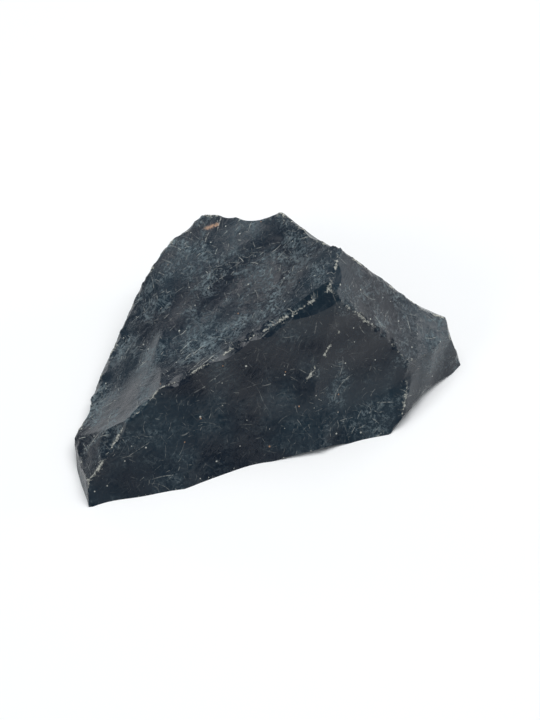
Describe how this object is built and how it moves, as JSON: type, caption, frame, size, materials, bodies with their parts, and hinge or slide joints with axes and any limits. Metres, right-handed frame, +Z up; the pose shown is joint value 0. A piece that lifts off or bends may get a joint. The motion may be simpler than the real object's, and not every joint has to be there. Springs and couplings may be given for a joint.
{
  "type": "obsidian chunk",
  "caption": "Rough chunk of black volcanic glass with a long sharp crest, shallow shell-shaped fracture faces and chipped edges, lying on a flat face.",
  "frame": {"origin": "on the surface that the chunk rests on, under the middle of its bounding box", "axes": "+X along its longest extent, from the low tip to the high end; +Y away from the viewer; +Z up"},
  "size_m": [0.1148, 0.092, 0.0524],
  "materials": {
    "obsidian": "opaque black volcanic glass with a blue-green cast, glossy under fine scuffs and pale dust"
  },
  "bodies": {
    "root": {"obsidian_chunk": "obsidian"}
  },
  "joints": []
}
